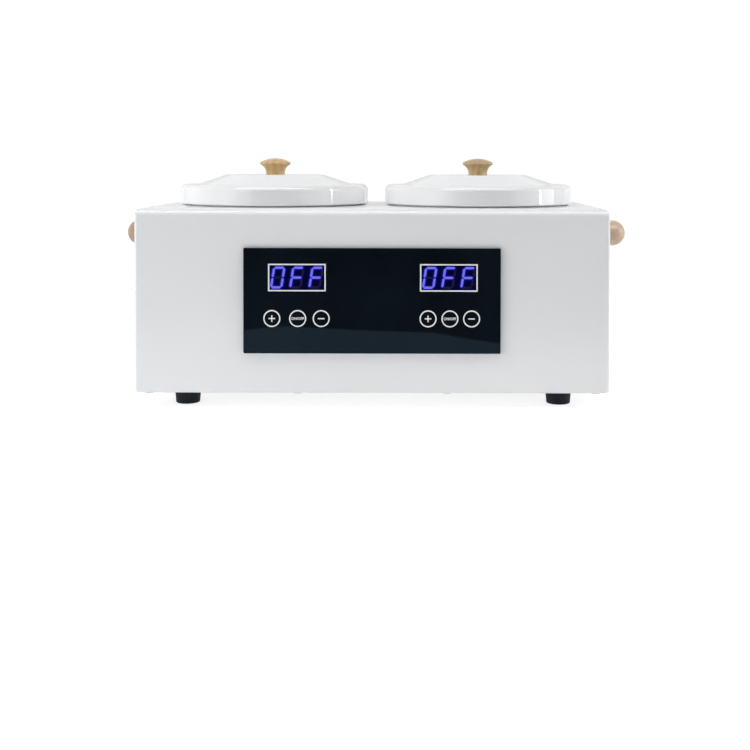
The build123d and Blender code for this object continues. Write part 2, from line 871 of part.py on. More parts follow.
block_y = power_board_d / 2 - block_d / 2 - block_edge_gap
with BuildPart() as terminal_block:
    with BuildSketch(Plane.XY.offset(power_top)):
        with Locations((0, block_y)):
            Rectangle(block_w, block_d)
    extrude(amount=block_h)
    with BuildSketch(Plane.XY.offset(power_top + block_h)):
        with Locations((0, block_y)):
            with GridLocations(block_w / block_ways, 0, block_ways, 1):
                Circle(block_hole_r)
    extrude(amount=-block_h / 2, mode=Mode.SUBTRACT)
save(terminal_block, "terminal_block")

fuse_z = power_top + fuse_r + fuse_clip_t
with BuildPart() as fuse:
    with BuildSketch(Plane.YZ.offset(fuse_x - fuse_len / 2)):
        with Locations((fuse_y, fuse_z)):
            Circle(fuse_r)
    extrude(amount=fuse_len)
save(fuse, "fuse")

with BuildPart() as fuse_clips:
    for end in (-1, 1):
        with BuildSketch(Plane.YZ.offset(fuse_x + end * (fuse_len / 2 - fuse_clip_w) - fuse_clip_w / 2)):
            with Locations((fuse_y, fuse_z - fuse_clip_t / 2)):
                Rectangle(2 * (fuse_r + fuse_clip_t), 2 * fuse_r + fuse_clip_t)
            with Locations((fuse_y, fuse_z)):
                Circle(fuse_r + thread_fit, mode=Mode.SUBTRACT)
            with Locations((fuse_y, fuse_z + fuse_r)):
                Rectangle(fuse_r, 2 * fuse_r, mode=Mode.SUBTRACT)
        extrude(amount=fuse_clip_w)
save(fuse_clips, "fuse_clips")

# Mains inlet in the rear wall
inlet_out_y = rear_y + inlet_flange_t
cavity_floor_y = inlet_out_y - inlet_cavity_depth
inlet_back_y = rear_y - inlet_body_depth
ear_spots = [(-inlet_hole_pitch / 2, inlet_z), (inlet_hole_pitch / 2, inlet_z)]
pin_spots = [
    (-pin_pitch / 2, inlet_z - pin_offset),
    (pin_pitch / 2, inlet_z - pin_offset),
    (0, inlet_z + pin_offset),
]
with BuildPart() as inlet_pins:
    with BuildSketch(Plane.XZ.offset(-(inlet_out_y - pin_recess))):
        with Locations(pin_spots):
            Rectangle(pin_w, pin_h)
    extrude(amount=inlet_out_y - pin_recess - inlet_back_y + pin_tail)
save(inlet_pins, "inlet_pins")

with BuildPart() as inlet_socket:
    with BuildSketch(Plane.XZ.offset(-inlet_out_y)):
        with Locations((0, inlet_z)):
            RectangleRounded(inlet_flange_w, inlet_flange_h, inlet_flange_r)
    extrude(amount=inlet_flange_t)
    with BuildSketch(Plane.XZ.offset(-rear_y)):
        with Locations((0, inlet_z)):
            Rectangle(inlet_body_w, inlet_body_h)
    extrude(amount=inlet_body_depth)
    with BuildSketch(Plane.XZ.offset(-inlet_out_y)) as cavity:
        with Locations((0, inlet_z)):
            Rectangle(inlet_cavity_w, inlet_cavity_h)
        chamfer(cavity.vertices().group_by(Axis.Y)[-1], inlet_chamfer)
    extrude(amount=inlet_cavity_depth, mode=Mode.SUBTRACT)
    add(inlet_pins.part, mode=Mode.SUBTRACT)
    for x, z in ear_spots:
        with BuildSketch(Plane.XZ.offset(-inlet_out_y)):
            with Locations((x, z)):
                Circle(screw_r + screw_fit)
        extrude(amount=inlet_flange_t, mode=Mode.SUBTRACT)
        with BuildSketch(Plane.XZ.offset(-inlet_out_y)):
            with Locations((x, z)):
                Circle(screw_head_r + thread_fit)
        extrude(amount=screw_head_r - screw_r, taper=45, mode=Mode.SUBTRACT)
save(inlet_socket, "inlet_socket")

inlet_screw = screw(Plane.XZ.offset(-inlet_out_y), screw_len + inlet_flange_t, flush=True)
with BuildPart() as inlet_nut:
    with BuildSketch(Plane.XZ.offset(-inner_rear_y)):
        RegularPolygon(nut_r, 6)
    extrude(amount=nut_h)
with BuildPart() as inlet_screws:
    for x, z in ear_spots:
        add(inlet_screw.moved(Location((x, 0, z))))
        add(inlet_nut.part.moved(Location((x, 0, z))))
save(inlet_screws, "inlet_screws")

# Main switch: a frame snapped into the rear wall and a rocker on two short pins
switch_out_y = rear_y + switch_flange_t
pocket_w = switch_body_w - 2 * rocker_wall
pocket_h = switch_body_h - 2 * rocker_wall
pivot_y = switch_out_y - rocker_pivot_depth
rocker_end_r = pocket_w / 2 - rocker_fit
rocker_h = pocket_h - 2 * rocker_fit
pocket_depth = rocker_pivot_depth + rocker_end_r + rocker_fit
with BuildPart() as switch_frame:
    with BuildSketch(Plane.XZ.offset(-switch_out_y)):
        with Locations((switch_x, inlet_z)):
            RectangleRounded(switch_flange_w, switch_flange_h, switch_flange_r)
    extrude(amount=switch_flange_t)
    with BuildSketch(Plane.XZ.offset(-rear_y)):
        with Locations((switch_x, inlet_z)):
            Rectangle(switch_body_w, switch_body_h)
    extrude(amount=switch_body_depth)
    with BuildSketch(Plane.XZ.offset(-switch_out_y)):
        with Locations((switch_x, inlet_z)):
            Rectangle(pocket_w, pocket_h)
    extrude(amount=pocket_depth, mode=Mode.SUBTRACT)
    with BuildSketch(Plane((switch_x, pivot_y, inlet_z - switch_body_h / 2))):
        Circle(rocker_pin_r + rocker_pin_fit)
    extrude(amount=switch_body_h, mode=Mode.SUBTRACT)
    with BuildSketch(Plane.XZ.offset(-(rear_y - switch_body_depth))):
        with Locations((switch_x, inlet_z)):
            with GridLocations(tab_pitch, 0, 2, 1):
                Rectangle(tab_t, tab_w)
    extrude(amount=tab_len)
save(switch_frame, "switch_frame")

# The rocker's face is two flats that meet over the pivot; its ends are arcs about the pivot
press_y = rocker_pivot_depth + rocker_proud
lean = tan(radians(2 * rocker_tilt_deg))
with BuildPart() as switch_rocker:
    with BuildSketch(Plane((switch_x, pivot_y, inlet_z - rocker_h / 2))):
        with BuildLine():
            Polyline(
                (-rocker_end_r, -rocker_tail),
                (rocker_end_r, -rocker_tail),
                (rocker_end_r, press_y),
                (0, press_y),
                (-rocker_end_r, press_y + rocker_end_r * lean),
                close=True,
            )
        make_face()
        Circle(rocker_end_r, mode=Mode.INTERSECT)
    extrude(amount=rocker_h)
    with BuildSketch(Plane((switch_x, pivot_y, inlet_z - switch_body_h / 2 + rocker_fit / 2))):
        Circle(rocker_pin_r)
    extrude(amount=switch_body_h - rocker_fit)
save(switch_rocker, "switch_rocker")
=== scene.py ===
import math

import bmesh
import bpy
from mathutils import Matrix, Vector


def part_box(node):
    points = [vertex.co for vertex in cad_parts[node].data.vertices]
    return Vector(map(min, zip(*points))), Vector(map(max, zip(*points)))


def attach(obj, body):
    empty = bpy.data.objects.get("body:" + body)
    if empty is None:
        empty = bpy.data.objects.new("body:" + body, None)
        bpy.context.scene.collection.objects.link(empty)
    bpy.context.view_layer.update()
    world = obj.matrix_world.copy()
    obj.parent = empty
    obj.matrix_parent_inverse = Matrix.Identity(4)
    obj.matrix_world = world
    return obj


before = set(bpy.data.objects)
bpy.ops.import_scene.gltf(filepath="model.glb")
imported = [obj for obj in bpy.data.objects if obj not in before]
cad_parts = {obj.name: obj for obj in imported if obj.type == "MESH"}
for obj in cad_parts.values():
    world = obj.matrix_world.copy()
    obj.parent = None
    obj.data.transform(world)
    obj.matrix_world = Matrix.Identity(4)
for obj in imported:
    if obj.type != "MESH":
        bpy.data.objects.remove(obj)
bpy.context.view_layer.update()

MM = 0.001

# Frames, rings and signs printed on the front panel, in millimetres
PANEL_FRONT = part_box("control_panel")[0][1] / MM
PRINT_T = 0.06
FRAME_W = 37.65
FRAME_H = 18.0
FRAME_LINE = 0.88
RING_R = 5.57
RING_LINE = 0.82
SIGN_LEN = 4.3
SIGN_LINE = 0.75
TEXT_W = 8.2
TEXT_H = 1.8
TEXT_BOLD = 0.04

# The plus, ON/OFF and minus keys, from the middle of the display above them, in millimetres
KEY_STEPS = {"left": (-16.35, 0.5, 15.85), "right": (-13.5, 0.75, 14.9)}

# Digits, in millimetres; a to g are the seven bars, from the top clockwise, with g in the middle
WORD = "OFF"
BARS = "abcdefg"
BARS_OF = {"O": "abcdef", "F": "aefg"}
BAR_T = 1.52
BAR_GAP = 0.12
BAR_ROUND = 0.35
DIGIT_H = 14.4
DIGIT_W = 8.2
DIGIT_PITCH = 12.5
SLANT = math.tan(math.radians(9.0))
HALO_GROW = 0.85

# Layers of a display, in millimetres; the halos differ a little in thickness so that no two faces coincide
WINDOW_T = 0.02
UNLIT_T = 0.01
HALO_T = 0.012
HALO_STEP = 0.0008
LIT_LIFT = 0.035
LIT_T = 0.02

# Marks behind and below, in millimetres; the dark crosses on the screw heads are painted shade
SCREW_HEAD_R = 2.8
NUT_R = 3.2
RECESS_LEN = 3.2
RECESS_LINE = 0.75
RECESS_T = 0.02
ROCKER_RIDGE_Y = 81.5
ROCKER_LEAN_DEG = 14.0
ROCKER_MARK_X = 3.6
ROCKER_BAR_W = 0.7
ROCKER_BAR_H = 3.6
ROCKER_RING_R = 1.8
ROCKER_RING_BORE = 1.15
ROCKER_RING_POINTS = 32
ROCKER_MARK_T = 0.04

# Studio, in metres; where it is seen, the floor's own light grows with distance from the object, up to white
FLOOR_HALF = 6.0
GLOW_START = 0.3
GLOW_END = 1.1
GLOW_NEAR = 0.8
GLOW_FAR = 1.0
BOUNCE_GLOW = 0.12
CARD_LIFT = 0.002
WORLD_LEVEL = 0.08

# Camera: place in metres, tilts in degrees, lens and sensor in millimetres, shift in widths of the picture
CAMERA_PLACE = (0.0289, -0.8303, 0.1603)
CAMERA_PITCH = 1.38
CAMERA_ROLL = -0.135
CAMERA_LENS = 55.21
CAMERA_SENSOR = 36.0
CAMERA_SHIFT = (-0.0555, -0.2446)
CAMERA_NEAR = 0.01
CAMERA_FAR = 50.0


def centre_of(node):
    """The middle of a node's box, in millimetres."""
    low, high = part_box(node)
    return [(a + b) / 2 / MM for a, b in zip(low, high)]


def add_object(name, data):
    thing = bpy.data.objects.new(name, data)
    bpy.context.scene.collection.objects.link(thing)
    return thing


def mesh_from(mesh, name):
    """The finished bmesh as mesh data."""
    data = bpy.data.meshes.new(name)
    mesh.to_mesh(data)
    mesh.free()
    return data


# Materials

# Where a ramp over a cloudy noise starts and ends
CLOUD_LOW = 0.3
CLOUD_HIGH = 0.7

# The gloss varies in patches finer than the clouds by this factor, and never below the least roughness
PATCH_FINER = 2.3
LEAST_ROUGH = 0.02

# Wood: stretch along the fibres and of the rings, shares of rings and fibres, places of the three tones, and
# how squarely the surface has to cut the fibres for end grain to start and to show in full
FIBRE_STRETCH = 0.12
FIBRE_GRAIN = 900.0
DRIFT_GRAIN = 90.0
RING_STRETCH = 0.55
RING_SCALE = 60.0
RING_DETAIL_SCALE = 1.6
RING_SHARE = 0.65
FIBRE_SHARE = 0.5
TONE_PLACES = (0.25, 0.5, 0.75)
END_START = 0.4
END_FULL = 0.95

# The lacquer on the wood, its gloss over the fibres, and how far the fibres stand out, in millimetres
LACQUER = 0.35
LACQUER_ROUGH = 0.18
WOOD_SMOOTHEST = 0.34
WOOD_ROUGHEST = 0.5
FIBRE_DEPTH = 0.05
FIBRE_STRENGTH = 0.5

# The face of a lit bar, under its light
LIT_FACE = (0.002, 0.002, 0.01, 1)
LIT_FACE_ROUGH = 0.3
LIT_FACE_SHINE = 0.1


def new_material(name):
    mat = bpy.data.materials.new(name)
    mat.use_nodes = True
    tree = mat.node_tree
    shader = tree.nodes["Principled BSDF"]
    return mat, tree, shader


def add_node(tree, kind, **values):
    """A new node; values that name an input set its default, others set a property."""
    node = tree.nodes.new(kind)
    for key, value in values.items():
        if key in node.inputs:
            node.inputs[key].default_value = value
        else:
            setattr(node, key, value)
    return node


def object_coords(tree, scale=(1, 1, 1)):
    coords = tree.nodes.new("ShaderNodeTexCoord")
    mapping = add_node(tree, "ShaderNodeMapping", Scale=scale)
    tree.links.new(coords.outputs["Object"], mapping.inputs["Vector"])
    return mapping.outputs["Vector"]


def noise(tree, vector, scale, detail=4.0, roughness=0.55):
    node = add_node(tree, "ShaderNodeTexNoise", Scale=scale, Detail=detail, Roughness=roughness)
    tree.links.new(vector, node.inputs["Vector"])
    return node.outputs["Fac"]


def ramp(tree, fac, stops):
    node = tree.nodes.new("ShaderNodeValToRGB")
    points = node.color_ramp.elements
    while len(points) < len(stops):
        points.new(0.5)
    for point, (place, colour) in zip(points, stops):
        point.position = place
        point.color = (*colour, 1)
    tree.links.new(fac, node.inputs["Fac"])
    return node.outputs["Color"]


def spread(tree, fac, low, high, start=0.0, end=1.0):
    """The value, which runs from start to end, mapped to run from low to high."""
    node = add_node(tree, "ShaderNodeMapRange")
    for key, value in (("From Min", start), ("From Max", end), ("To Min", low), ("To Max", high)):
        node.inputs[key].default_value = value
    tree.links.new(fac, node.inputs["Value"])
    return node.outputs["Result"]


def blend(tree, first, second, share):
    node = tree.nodes.new("ShaderNodeMix")
    node.inputs["Factor"].default_value = share
    tree.links.new(first, node.inputs["A"])
    tree.links.new(second, node.inputs["B"])
    return node.outputs["Result"]


def bump(tree, shader, fac, depth_mm, strength=1.0):
    node = add_node(tree, "ShaderNodeBump", Strength=strength, Distance=depth_mm * MM)
    tree.links.new(fac, node.inputs["Height"])
    tree.links.new(node.outputs["Normal"], shader.inputs["Normal"])


def shade(colour, factor):
    return tuple(min(c * factor, 1.0) for c in colour)


def surface(name, colour, rough, clouds=0.06, grain=40.0, rough_range=0.05, depth_mm=0.0, depth_grain=900.0,
            stretch=(1, 1, 1), **settings):
    """A material with cloudy colour variation, uneven gloss and a fine bump."""
    mat, tree, shader = new_material(name)
    vector = object_coords(tree, stretch)
    cloud = noise(tree, vector, grain)
    stops = [(CLOUD_LOW, shade(colour, 1 - clouds)), (CLOUD_HIGH, shade(colour, 1 + clouds))]
    tree.links.new(ramp(tree, cloud, stops), shader.inputs["Base Color"])
    patch = noise(tree, vector, grain * PATCH_FINER, detail=2.0)
    smoothest, roughest = max(rough - rough_range, LEAST_ROUGH), min(rough + rough_range, 1.0)
    tree.links.new(spread(tree, patch, smoothest, roughest), shader.inputs["Roughness"])
    if depth_mm:
        bump(tree, shader, noise(tree, vector, depth_grain, detail=2.0), depth_mm)
    for key, value in settings.items():
        shader.inputs[key.replace("_", " ")].default_value = value
    return mat


def wood(name, axis, tones, end_grain_and_shade):
    """Turned light wood: growth rings and long fibres along one axis, deeper in tone by the given amount
    where the fibres end at the surface, under satin lacquer. An amount above the end grain's own paints
    shade on those faces."""
    mat, tree, shader = new_material(name)
    along = [FIBRE_STRETCH if i == axis else 1.0 for i in range(3)]
    vector = object_coords(tree, along)
    fibres = noise(tree, vector, FIBRE_GRAIN, detail=6.0, roughness=0.65)
    drift = noise(tree, vector, DRIFT_GRAIN, detail=2.0)
    wave = add_node(tree, "ShaderNodeTexWave", Scale=RING_SCALE, Distortion=7.0, Detail=3.0)
    wave.inputs["Detail Scale"].default_value = RING_DETAIL_SCALE
    along[1] = RING_STRETCH
    tree.links.new(object_coords(tree, along), wave.inputs["Vector"])
    rings = blend(tree, wave.outputs["Fac"], drift, RING_SHARE)
    mixed = blend(tree, rings, fibres, FIBRE_SHARE)
    toned = add_node(tree, "ShaderNodeMath", operation="SUBTRACT")
    tree.links.new(mixed, toned.inputs[0])
    ends = spread(tree, facing(tree, axis), 0.0, end_grain_and_shade, END_START, END_FULL)
    tree.links.new(ends, toned.inputs[1])
    stops = list(zip(TONE_PLACES, tones))
    tree.links.new(ramp(tree, toned.outputs[0], stops), shader.inputs["Base Color"])
    tree.links.new(spread(tree, fibres, WOOD_SMOOTHEST, WOOD_ROUGHEST), shader.inputs["Roughness"])
    bump(tree, shader, fibres, FIBRE_DEPTH, FIBRE_STRENGTH)
    shader.inputs["Coat Weight"].default_value = LACQUER
    shader.inputs["Coat Roughness"].default_value = LACQUER_ROUGH
    return mat


def facing(tree, axis):
    """1 where the surface faces along the axis, either way, and 0 where it stands square to it."""
    coords = tree.nodes.new("ShaderNodeTexCoord")
    parts = tree.nodes.new("ShaderNodeSeparateXYZ")
    tree.links.new(coords.outputs["Normal"], parts.inputs["Vector"])
    size = add_node(tree, "ShaderNodeMath", operation="ABSOLUTE")
    tree.links.new(parts.outputs["XYZ"[axis]], size.inputs[0])
    return size.outputs[0]


def glowing(name, colour, strength, unevenness=0.12):
    """A lit surface whose light is slightly uneven."""
    mat, tree, shader = new_material(name)
    cloud = noise(tree, object_coords(tree), 700.0, detail=2.0)
    stops = [(CLOUD_LOW, shade(colour, 1 - unevenness)), (CLOUD_HIGH, colour)]
    tree.links.new(ramp(tree, cloud, stops), shader.inputs["Emission Color"])
    shader.inputs["Emission Strength"].default_value = strength
    shader.inputs["Base Color"].default_value = LIT_FACE
    shader.inputs["Roughness"].default_value = LIT_FACE_ROUGH
    shader.inputs["Specular IOR Level"].default_value = LIT_FACE_SHINE
    return mat


WHITE_COAT = surface("white_coat", (0.855, 0.872, 0.885), rough=0.2, clouds=0.012, grain=14.0,
                     rough_range=0.03, depth_mm=0.0007, depth_grain=420.0, Specular_IOR_Level=0.42)
LID_COAT = surface("lid_coat", (0.855, 0.865, 0.875), rough=0.06, clouds=0.01, grain=18.0,
                   rough_range=0.015, depth_mm=0.0015, depth_grain=420.0, Specular_IOR_Level=0.6)
PANEL_BLACK = surface("panel_black", (0.0036, 0.0060, 0.0095), rough=0.02, clouds=0.25, grain=22.0,
                      rough_range=0.005, Specular_IOR_Level=0.19, Specular_Tint=(0.45, 0.75, 1.0, 1.0))
PRINT_WHITE = surface("print_white", (0.88, 0.89, 0.89), rough=0.45, clouds=0.03, grain=500.0,
                      rough_range=0.05)
LAMP_BLACK = surface("lamp_face", (0.012, 0.008, 0.02), rough=0.5, clouds=0.2, grain=300.0,
                     rough_range=0.08)
WINDOW_DARK = surface("window_dark", (0.0005, 0.001, 0.036), rough=0.1, clouds=0.3, grain=120.0,
                      rough_range=0.03, Specular_IOR_Level=0.15, Specular_Tint=(0.55, 0.8, 1.0, 1.0))
BAR_LIT = glowing("bar_lit", (0.175, 0.165, 1.0), 1.0)
BAR_HALO = glowing("bar_halo", (0.001, 0.0015, 0.2), 1.0, unevenness=0.3)
BAR_UNLIT = surface("bar_unlit", (0.009, 0.006, 0.045), rough=0.45, clouds=0.25, grain=400.0,
                    rough_range=0.05, Specular_IOR_Level=0.1)
WOOD_UP = wood("wood_upright", axis=2, end_grain_and_shade=0.1,
               tones=((0.46, 0.285, 0.11), (0.575, 0.375, 0.157), (0.69, 0.49, 0.24)))
# A darker copy of the upright wood for the right knob, darker still where it faces up: painted shade on its
# body and top.
KNOB_WOOD_PAINTED_SHADE = wood("knob_wood_painted_shade", axis=2, end_grain_and_shade=0.3,
                      tones=((0.375, 0.245, 0.11), (0.51, 0.34, 0.145), (0.61, 0.43, 0.21)))
# The grip wood lightened for the right grip: painted light.
GRIP_WOOD_PAINTED_LIGHT = wood("grip_wood_painted_light", axis=0, end_grain_and_shade=0.1,
                   tones=((0.51, 0.36, 0.24), (0.585, 0.43, 0.30), (0.65, 0.49, 0.36)))
# The grip wood darkened for the left grip: painted shade.
GRIP_WOOD_PAINTED_SHADE = wood("grip_wood_painted_shade", axis=0, end_grain_and_shade=0.1,
                   tones=((0.33, 0.225, 0.14), (0.385, 0.275, 0.18), (0.435, 0.32, 0.22)))
# Painted shade: the dark inside of the screw heads' cross recesses.
RECESS_PAINTED_SHADE = surface("recess_painted_shade", (0.03, 0.03, 0.03), rough=0.6, clouds=0.1, grain=300.0,
                      rough_range=0.05)
FOOT_RUBBER = surface("foot_rubber", (0.006, 0.010, 0.015), rough=0.6, clouds=0.2, grain=200.0,
                      rough_range=0.08, depth_mm=0.01, depth_grain=1500.0, Specular_IOR_Level=0.2)
ALUMINIUM = surface("spun_aluminium", (0.78, 0.79, 0.80), rough=0.3, clouds=0.05, grain=60.0,
                    rough_range=0.08, depth_mm=0.004, depth_grain=90.0, stretch=(0.4, 0.4, 9.0),
                    Metallic=1.0)
STEEL = surface("bare_steel", (0.56, 0.57, 0.58), rough=0.34, clouds=0.08, grain=120.0, rough_range=0.08,
                depth_mm=0.004, depth_grain=800.0, Metallic=1.0)
ZINC = surface("zinc", (0.66, 0.66, 0.64), rough=0.3, clouds=0.08, grain=300.0, rough_range=0.08,
               depth_mm=0.004, depth_grain=900.0, Metallic=1.0)
BRASS = surface("brass", (0.72, 0.52, 0.22), rough=0.28, clouds=0.08, grain=200.0, rough_range=0.08,
                depth_mm=0.003, depth_grain=900.0, Metallic=1.0)
COLLAR = surface("collar_plastic", (0.78, 0.78, 0.76), rough=0.5, clouds=0.02, grain=60.0, rough_range=0.06,
                 depth_mm=0.008, depth_grain=1200.0)
FELT = surface("felt", (0.70, 0.67, 0.58), rough=0.95, clouds=0.12, grain=260.0, rough_range=0.04,
               depth_mm=0.25, depth_grain=900.0, Sheen_Weight=0.4)
CIRCUIT = surface("circuit_board", (0.02, 0.13, 0.05), rough=0.4, clouds=0.2, grain=260.0, rough_range=0.08,
                  depth_mm=0.02, depth_grain=500.0)
CHIP = surface("chip_black", (0.02, 0.02, 0.022), rough=0.5, clouds=0.15, grain=300.0, rough_range=0.08,
               depth_mm=0.01, depth_grain=1500.0)
FOIL = surface("foil_black", (0.03, 0.03, 0.03), rough=0.6, clouds=0.1, grain=200.0, rough_range=0.08)
FOAM = surface("key_foam", (0.08, 0.08, 0.085), rough=0.95, clouds=0.25, grain=900.0, rough_range=0.04,
               depth_mm=0.08, depth_grain=2500.0)
MOULDED_BLACK = surface("moulded_black", (0.016, 0.016, 0.017), rough=0.38, clouds=0.12, grain=240.0,
                        rough_range=0.07, depth_mm=0.01, depth_grain=1600.0)
ROCKER = surface("rocker_black", (0.014, 0.014, 0.015), rough=0.22, clouds=0.1, grain=200.0,
                 rough_range=0.05, depth_mm=0.006, depth_grain=1500.0)
CORE = surface("core_steel", (0.20, 0.20, 0.21), rough=0.5, clouds=0.15, grain=40.0, rough_range=0.08,
               depth_mm=0.05, depth_grain=2200.0, stretch=(1, 14, 1), Metallic=0.8)
TAPE = surface("winding_tape", (0.72, 0.52, 0.08), rough=0.4, clouds=0.06, grain=160.0, rough_range=0.06,
               depth_mm=0.01, depth_grain=700.0)
GLASS = surface("fuse_glass", (0.85, 0.88, 0.9), rough=0.06, clouds=0.02, grain=90.0, rough_range=0.02,
                Transmission_Weight=0.9)

NODE_MATERIALS = {
    WHITE_COAT: ("housing_shell", "base_plate"),
    LID_COAT: ("lid_left", "lid_right"),
    WOOD_UP: ("lid_knob_left",),
    KNOB_WOOD_PAINTED_SHADE: ("lid_knob_right",),
    GRIP_WOOD_PAINTED_SHADE: ("side_grip_left",),
    GRIP_WOOD_PAINTED_LIGHT: ("side_grip_right",),
    PANEL_BLACK: ("control_panel",),
    FOIL: ("panel_foil",),
    LAMP_BLACK: ("display_left", "display_right"),
    BAR_UNLIT: ("light_bars_left", "light_bars_right"),
    FOAM: ("key_pads_left", "key_pads_right"),
    CIRCUIT: ("control_board", "power_board"),
    CHIP: ("control_chips", "relays", "terminal_block"),
    BRASS: ("board_studs", "power_board_stands", "inlet_pins", "fuse_clips"),
    ZINC: ("base_plate_screws", "foot_screws", "control_board_screws", "power_board_screws", "inlet_screws",
           "lid_knob_screw_left", "lid_knob_screw_right", "side_grip_screw_left", "side_grip_screw_right",
           "band_bolt_left", "band_bolt_right"),
    STEEL: ("snap_ring_left", "snap_ring_right", "heater_band_left", "heater_band_right"),
    ALUMINIUM: ("pot_left", "pot_right", "well_left", "well_right", "thermostat_left", "thermostat_right"),
    COLLAR: ("collar_left", "collar_right"),
    FELT: ("insulation_left", "insulation_right"),
    FOOT_RUBBER: ("rubber_feet",),
    MOULDED_BLACK: ("inlet_socket", "switch_frame"),
    ROCKER: ("switch_rocker",),
    CORE: ("transformer_core",),
    TAPE: ("transformer_winding",),
    GLASS: ("fuse",),
}


def dress_nodes():
    for mat, names in NODE_MATERIALS.items():
        for name in names:
            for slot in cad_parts[name].material_slots:
                slot.material = mat


# Flat marks that stand just proud of a face. Each frame below turns (across, up, outwards), in millimetres,
# into the part's own axes.
PANEL_FACE = Matrix(((1, 0, 0, 0), (0, 0, -1, PANEL_FRONT), (0, 1, 0, 0), (0, 0, 0, 1)))
REAR_FACE = Matrix(((-1, 0, 0, 0), (0, 0, 1, 0), (0, 1, 0, 0), (0, 0, 0, 1)))
UNDER_FACE = Matrix(((1, 0, 0, 0), (0, -1, 0, 0), (0, 0, -1, 0), (0, 0, 0, 1)))


def plates(name, mat, solids, face, lift=0.0, depth=PRINT_T, body="housing"):
    """One piece of thin plates on a face. Each solid is (outline, hole or None) in millimetres; an outline
    and its hole have as many points."""
    mesh = bmesh.new()
    for outline, hole in solids:
        rows, inner = [], []
        for out in (lift + depth, lift):
            rows.append([mesh.verts.new(face @ Vector((u, v, out)) * MM) for u, v in outline])
            inner.append([mesh.verts.new(face @ Vector((u, v, out)) * MM) for u, v in hole or ()])
        count = len(outline)
        for i in range(count):
            j = (i + 1) % count
            mesh.faces.new((rows[0][i], rows[0][j], rows[1][j], rows[1][i]))
            if hole:
                mesh.faces.new((inner[1][i], inner[1][j], inner[0][j], inner[0][i]))
                mesh.faces.new((rows[0][j], rows[0][i], inner[0][i], inner[0][j]))
                mesh.faces.new((rows[1][i], rows[1][j], inner[1][j], inner[1][i]))
        if not hole:
            mesh.faces.new(rows[0])
            mesh.faces.new(list(reversed(rows[1])))
    bmesh.ops.recalc_face_normals(mesh, faces=mesh.faces)
    data = mesh_from(mesh, name)
    data.materials.append(mat)
    piece = add_object(name, data)
    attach(piece, body)


def ring_points(x, z, radius, count=64):
    turn = 2 * math.pi / count
    return [(x + radius * math.cos(i * turn), z + radius * math.sin(i * turn)) for i in range(count)]


def box_points(x, z, width, height):
    return [(x - width / 2, z - height / 2), (x + width / 2, z - height / 2),
            (x + width / 2, z + height / 2), (x - width / 2, z + height / 2)]


def rounded(points, radius, steps=3):
    """The outline with each corner cut by a short curve."""
    result = []
    count = len(points)
    for i, corner in enumerate(points):
        here = Vector(corner)
        before = (Vector(points[i - 1]) - here).normalized()
        after = (Vector(points[(i + 1) % count]) - here).normalized()
        for step in range(steps + 1):
            t = step / steps
            start, end = here + before * radius, here + after * radius
            curve = start * (1 - t) ** 2 + here * 2 * t * (1 - t) + end * t ** 2
            result.append(tuple(curve))
    return result


def cross_points(x, z, length, line):
    """A cross with arms of equal length."""
    a, b = length / 2, line / 2
    corners = [(-a, -b), (-b, -b), (-b, -a), (b, -a), (b, -b), (a, -b),
               (a, b), (b, b), (b, a), (-b, a), (-b, b), (-a, b)]
    return [(x + u, z + v) for u, v in corners]


def bar_points(u0, v0, u1, v1, grow):
    """One bar of a digit with pointed ends, level or upright, grown outwards by grow."""
    tip = BAR_T / 2 + grow
    if v0 == v1:
        u0, u1 = u0 - grow, u1 + grow
        return [(u0, v0), (u0 + tip, v0 - tip), (u1 - tip, v0 - tip),
                (u1, v0), (u1 - tip, v0 + tip), (u0 + tip, v0 + tip)]
    v0, v1 = v0 - grow, v1 + grow
    return [(u0, v0), (u0 + tip, v0 + tip), (u0 + tip, v1 - tip),
            (u0, v1), (u0 - tip, v1 - tip), (u0 - tip, v0 + tip)]


def digit_bars(x, z, names, grow=0.0):
    """The named bars of a digit that leans to the right, centred at (x, z)."""
    a, b, g = (DIGIT_W - BAR_T) / 2, (DIGIT_H - BAR_T) / 2, BAR_GAP
    lines = {"a": (-a + g, b, a - g, b), "b": (a, g, a, b - g), "c": (a, -b + g, a, -g),
             "d": (-a + g, -b, a - g, -b), "e": (-a, -b + g, -a, -g), "f": (-a, g, -a, b - g),
             "g": (-a + g, 0, a - g, 0)}
    solids = []
    for key in names:
        outline = rounded(bar_points(*lines[key], grow), BAR_ROUND)
        solids.append(([(x + u + v * SLANT, z + v) for u, v in outline], None))
    return solids


def make_display(side):
    """A display's frame and dark window, with its unlit bars, its lit bars and the glow round them."""
    x, _, z = centre_of(f"display_{side}")
    hole = box_points(x, z, FRAME_W - 2 * FRAME_LINE, FRAME_H - 2 * FRAME_LINE)
    plates(f"window_{side}", WINDOW_DARK, [(hole, None)], PANEL_FACE, depth=WINDOW_T)
    outline = box_points(x, z, FRAME_W, FRAME_H)
    plates(f"display_frame_{side}", PRINT_WHITE, [(outline, hole)], PANEL_FACE)
    lit, dark, halo = [], [], []
    for place, letter in enumerate(WORD):
        digit_x = x + (place - 1) * DIGIT_PITCH
        on = BARS_OF[letter]
        off = "".join(key for key in BARS if key not in on)
        lit += digit_bars(digit_x, z, on)
        halo += digit_bars(digit_x, z, on, HALO_GROW)
        dark += digit_bars(digit_x, z, off)
    plates(f"unlit_bars_{side}", BAR_UNLIT, dark, PANEL_FACE, WINDOW_T, UNLIT_T)
    for number, solid in enumerate(halo):
        plates(f"bar_halo_{side}_{number}", BAR_HALO, [solid], PANEL_FACE, WINDOW_T,
               HALO_T + HALO_STEP * number)
    plates(f"lit_bars_{side}", BAR_LIT, lit, PANEL_FACE, LIT_LIFT, LIT_T)


